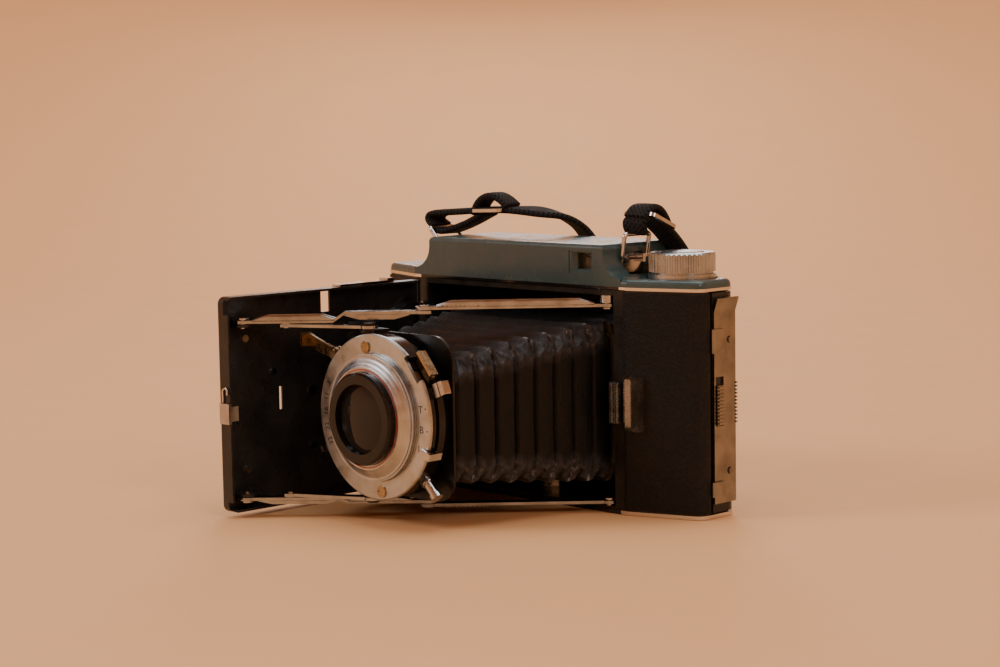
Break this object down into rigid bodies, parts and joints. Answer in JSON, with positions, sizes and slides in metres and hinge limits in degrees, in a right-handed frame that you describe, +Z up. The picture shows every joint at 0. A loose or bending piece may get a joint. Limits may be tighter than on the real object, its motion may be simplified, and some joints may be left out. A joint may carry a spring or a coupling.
{
  "type": "folding roll-film camera",
  "caption": "Folding roll-film camera, opened, on its base: side-hinged door, folding struts, bellows, leaf shutter and lens, moulded top housing with a knob, and a webbing neck strap.",
  "frame": {"origin": "middle of the tripod socket's mouth in the underside of the base", "axes": "+X to the right seen from in front of the camera, the lens looks along -Y, +Z up out of the top housing"},
  "size_m": [0.1603, 0.1922, 0.1017],
  "materials": {
    "black_enamel": "satin",
    "leatherette": "grained",
    "bellows_leather": "matte",
    "housing_plastic": "gloss",
    "bright_steel": "polished",
    "satin_metal": "satin",
    "brass": "polished",
    "optical_glass": "polished",
    "ruby_window": "polished",
    "webbing": "woven"
  },
  "bodies": {
    "camera_body": {"body_casting": "black_enamel", "base_plate": "black_enamel", "tripod_bush": "bright_steel", "top_trim": "bright_steel", "front_leather": "leatherette", "top_housing": "housing_plastic", "finder_frame": "housing_plastic", "finder_lenses": "optical_glass", "strap_lugs": "bright_steel", "spool_pins": "black_enamel", "hinge_knuckles": "black_enamel", "hinge_pins": "bright_steel", "bellows_frame": "black_enamel", "bay_pivots": "bright_steel", "catch_plate": "bright_steel", "bellows": "bellows_leather", "carrying_strap": "webbing", "strap_buckles": "bright_steel"},
    "door": {"door": "black_enamel", "door_leather": "leatherette", "door_strike": "bright_steel", "door_rivets": "bright_steel"},
    "door_release": {"release_bar": "bright_steel"},
    "long_struts": {"long_struts": "bright_steel", "standard_arms": "bright_steel", "strut_rivets": "bright_steel"},
    "short_struts": {"short_struts": "bright_steel"},
    "lens_unit": {"lens_standard": "satin_metal", "shutter_case": "black_enamel", "face_ring": "satin_metal", "name_ring": "satin_metal", "lens_bezel": "black_enamel", "front_glass": "optical_glass", "rear_cell": "black_enamel", "rear_glass": "optical_glass", "face_screws": "bright_steel", "release_bracket": "brass", "sync_block": "bright_steel", "flash_post": "bright_steel"},
    "aperture": {"aperture_ring": "bright_steel"},
    "speed": {"speed_lever": "bright_steel"},
    "release": {"shutter_lever": "brass"},
    "blade_left": {"shutter_blade_left": "black_enamel"},
    "blade_right": {"shutter_blade_right": "black_enamel"},
    "back": {"back_cover": "black_enamel", "back_leather": "leatherette", "red_window": "ruby_window", "pressure_plate": "black_enamel", "pressure_springs": "bright_steel", "latch_plate": "bright_steel"},
    "latch": {"latch_slider": "bright_steel"},
    "window_slide": {"window_cover": "black_enamel"},
    "winder": {"wind_knob": "satin_metal", "winding_shaft": "bright_steel", "takeup_spool": "black_enamel"},
    "supply": {"supply_spool": "black_enamel"},
    "roller_left": {"film_roller_left": "bright_steel"},
    "roller_right": {"film_roller_right": "bright_steel"},
    "catch": {"door_catch": "black_enamel"}
  },
  "joints": [
    {"name": "door_fold", "type": "hinge", "parent": "camera_body", "child": "door", "pos_m": [-0.0465, -0.0205, 0.0385], "axis": [0, 0, 1], "range_deg": [0, 90], "deforming": ["bellows"]},
    {"name": "long_strut_fold", "type": "hinge", "parent": "door", "child": "long_struts", "pos_m": [-0.0455, -0.1035, 0.0362], "axis": [0, 0, 1], "range_deg": [-1, 47]},
    {"name": "standard_fold", "type": "hinge", "parent": "long_struts", "child": "lens_unit", "pos_m": [-0.00726, -0.08, 0.0362], "axis": [0, 0, 1], "range_deg": [-137, 1]},
    {"name": "short_strut_fold", "type": "hinge", "parent": "camera_body", "child": "short_struts", "pos_m": [0.0425, -0.017, 0.0362], "axis": [0, 0, 1], "range_deg": [-47, 1]},
    {"name": "door_release_pull", "type": "slide", "parent": "door", "child": "door_release", "axis": [0, -1, 0], "range_m": [0, 0.003], "stiffness_N_per_m": 200, "springref_m": -0.001},
    {"name": "aperture_turn", "type": "hinge", "parent": "lens_unit", "child": "aperture", "pos_m": [0, -0.084, 0.0362], "axis": [0, 1, 0], "range_deg": [0, 50]},
    {"name": "speed_turn", "type": "hinge", "parent": "lens_unit", "child": "speed", "pos_m": [0, -0.084, 0.0362], "axis": [0, -1, 0], "range_deg": [0, 33]},
    {"name": "release_press", "type": "hinge", "parent": "lens_unit", "child": "release", "pos_m": [-0.0228, -0.082, 0.0556], "axis": [0, -1, 0], "range_deg": [0, 12], "stiffness_Nm_per_rad": 0.01, "springref_deg": -11.46},
    {"name": "blade_left_swing", "type": "hinge", "parent": "lens_unit", "child": "blade_left", "pos_m": [-0.004, -0.0792, 0.021], "axis": [0, -1, 0], "range_deg": [0, 31]},
    {"name": "blade_right_swing", "type": "hinge", "parent": "lens_unit", "child": "blade_right", "pos_m": [0.004, -0.0792, 0.021], "axis": [0, 1, 0], "range_deg": [0, 31]},
    {"name": "back_hinge", "type": "hinge", "parent": "camera_body", "child": "back", "pos_m": [-0.0792, -0.0049, 0.0385], "axis": [0, 0, 1], "range_deg": [0, 110], "deforming": ["carrying_strap"]},
    {"name": "latch_slide", "type": "slide", "parent": "back", "child": "latch", "axis": [0, 0, 1], "range_m": [0, 0.0026]},
    {"name": "window_cover_slide", "type": "slide", "parent": "back", "child": "window_slide", "axis": [1, 0, 0], "range_m": [0, 0.0138]},
    {"name": "wind", "type": "hinge", "parent": "camera_body", "child": "winder", "pos_m": [0.0605, 0.0005, 0.0385], "axis": [0, 0, 1], "continuous": true},
    {"name": "supply_spin", "type": "hinge", "parent": "camera_body", "child": "supply", "pos_m": [-0.0605, 0.0005, 0.0385], "axis": [0, 0, 1], "continuous": true},
    {"name": "roller_left_spin", "type": "hinge", "parent": "camera_body", "child": "roller_left", "pos_m": [-0.0502, 0.0111, 0.0385], "axis": [0, 0, 1], "continuous": true},
    {"name": "roller_right_spin", "type": "hinge", "parent": "camera_body", "child": "roller_right", "pos_m": [0.0502, 0.0111, 0.0385], "axis": [0, 0, 1], "continuous": true},
    {"name": "catch_press", "type": "slide", "parent": "camera_body", "child": "catch", "axis": [1, 0, 0], "range_m": [0, 0.0012], "stiffness_N_per_m": 300, "springref_m": -0.001}
  ],
  "couplings": [
    {"joint": "long_strut_fold", "follows": "door_fold", "ratio": 0.506},
    {"joint": "standard_fold", "follows": "door_fold", "ratio": -1.506},
    {"joint": "short_strut_fold", "follows": "door_fold", "ratio": -0.5144},
    {"joint": "blade_left_swing", "follows": "release_press", "ratio": 2.5},
    {"joint": "blade_right_swing", "follows": "release_press", "ratio": 2.5}
  ]
}
